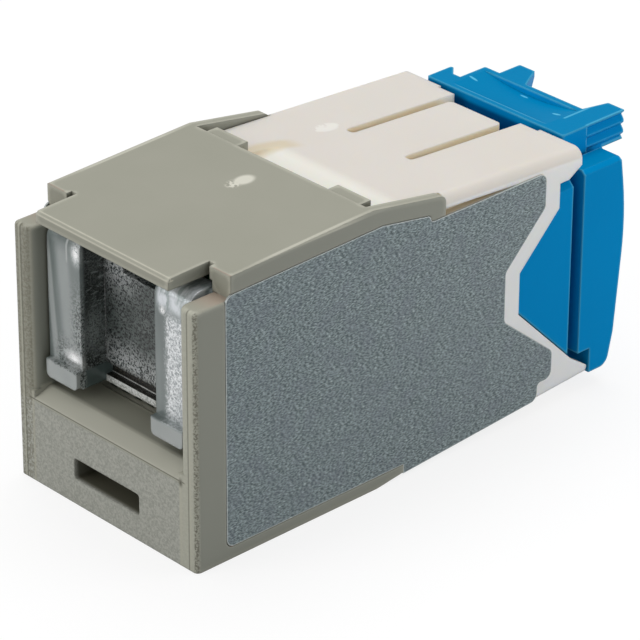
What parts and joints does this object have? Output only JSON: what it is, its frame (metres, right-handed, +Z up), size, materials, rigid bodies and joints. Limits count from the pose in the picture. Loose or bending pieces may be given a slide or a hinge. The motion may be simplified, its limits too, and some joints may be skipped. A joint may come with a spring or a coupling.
{
  "type": "keystone jack",
  "caption": "Keystone modular jack with a sprung clear shutter over its plug port, a foil-shielded body and a push-on rear wire cap with a strain-relief clip.",
  "frame": {"origin": "centre of the overall box at the underside of the base", "axes": "+X across the port to the right as the port is faced, +Y from the port back to the cable end, +Z up from the base to the hood"},
  "size_m": [0.0144, 0.0338, 0.017],
  "materials": {
    "grey_housing": "fine spark-eroded grey moulding",
    "clear_shutter": "frosted clear polycarbonate",
    "spring_steel": "drawn spring wire",
    "gold_contact": "gold plated",
    "circuit_board": "solder-masked laminate",
    "tinned_terminal": "tinned bronze",
    "white_sled": "smooth warm white moulding",
    "shield_foil": "mottled metal foil",
    "blue_cap": "satin blue moulding"
  },
  "bodies": {
    "jack": {"jack_housing": "grey_housing", "shutter_spring": "spring_steel", "contact_cradle": "grey_housing", "plug_contact_1": "gold_contact", "plug_contact_2": "gold_contact", "plug_contact_3": "gold_contact", "plug_contact_4": "gold_contact", "plug_contact_5": "gold_contact", "plug_contact_6": "gold_contact", "plug_contact_7": "gold_contact", "plug_contact_8": "gold_contact", "circuit_board": "circuit_board", "terminal_1": "tinned_terminal", "terminal_2": "tinned_terminal", "terminal_3": "tinned_terminal", "terminal_4": "tinned_terminal", "terminal_5": "tinned_terminal", "terminal_6": "tinned_terminal", "terminal_7": "tinned_terminal", "terminal_8": "tinned_terminal", "rear_sled": "white_sled", "foil_shield": "shield_foil"},
    "shutter": {"shutter": "clear_shutter"},
    "wire_cap": {"wire_cap": "blue_cap"},
    "clip": {"strain_relief_clip": "blue_cap"}
  },
  "joints": [
    {"name": "shutter_hinge", "type": "hinge", "parent": "jack", "child": "shutter", "pos_m": [0, -0.01405, 0.01505], "axis": [1, 0, 0], "range_deg": [0, 85], "stiffness_Nm_per_rad": 0.0001},
    {"name": "cap_pull", "type": "slide", "parent": "jack", "child": "wire_cap", "axis": [0, 1, 0], "range_m": [0, 0.008]},
    {"name": "clip_press", "type": "slide", "parent": "wire_cap", "child": "clip", "axis": [0, 0, -1], "range_m": [0, 0.004]}
  ]
}
